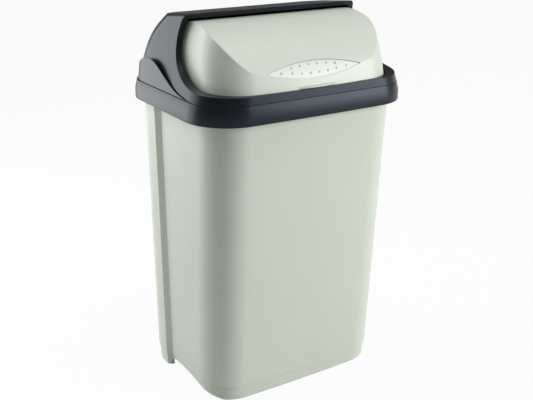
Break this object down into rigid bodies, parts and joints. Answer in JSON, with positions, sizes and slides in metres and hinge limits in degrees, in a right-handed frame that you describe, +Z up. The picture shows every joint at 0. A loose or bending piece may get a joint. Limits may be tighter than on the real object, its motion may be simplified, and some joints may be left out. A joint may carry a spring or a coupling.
{
  "type": "roll-top trash can",
  "caption": "Tall tapered kitchen bin with a bowed front, a lid ring gripping its rim, a tilting hood and a drum-shaped roll flap.",
  "frame": {"origin": "centre of the footprint of the whole object, on the floor", "axes": "+Z up, the front with the roll flap faces -Y, and +X is to the right of someone looking at the front"},
  "size_m": [0.318, 0.259, 0.525],
  "materials": {
    "bucket_plastic": "fine satin grain, sage green polypropylene",
    "flap_plastic": "fine satin grain, sage green polypropylene",
    "lid_plastic": "satin, anthracite polypropylene",
    "pin_plastic": "smooth moulded acetal"
  },
  "bodies": {
    "bin": {"bucket": "bucket_plastic"},
    "lid": {"lid_ring": "lid_plastic", "hood_pin_left": "pin_plastic", "hood_pin_right": "pin_plastic"},
    "hood": {"hood": "lid_plastic", "flap_pin_left": "pin_plastic", "flap_pin_right": "pin_plastic"},
    "flap": {"roll_flap": "flap_plastic"}
  },
  "joints": [
    {"name": "lid_lift", "type": "slide", "parent": "bin", "child": "lid", "axis": [0, 0, 1], "range_m": [0, 0.12]},
    {"name": "hood_tilt", "type": "hinge", "parent": "lid", "child": "hood", "pos_m": [0, 0.0414, 0.446], "axis": [-1, 0, 0], "range_deg": [0, 75]},
    {"name": "flap_roll", "type": "hinge", "parent": "hood", "child": "flap", "pos_m": [0, -0.0211, 0.4085], "axis": [-1, 0, 0], "range_deg": [0, 78]}
  ]
}
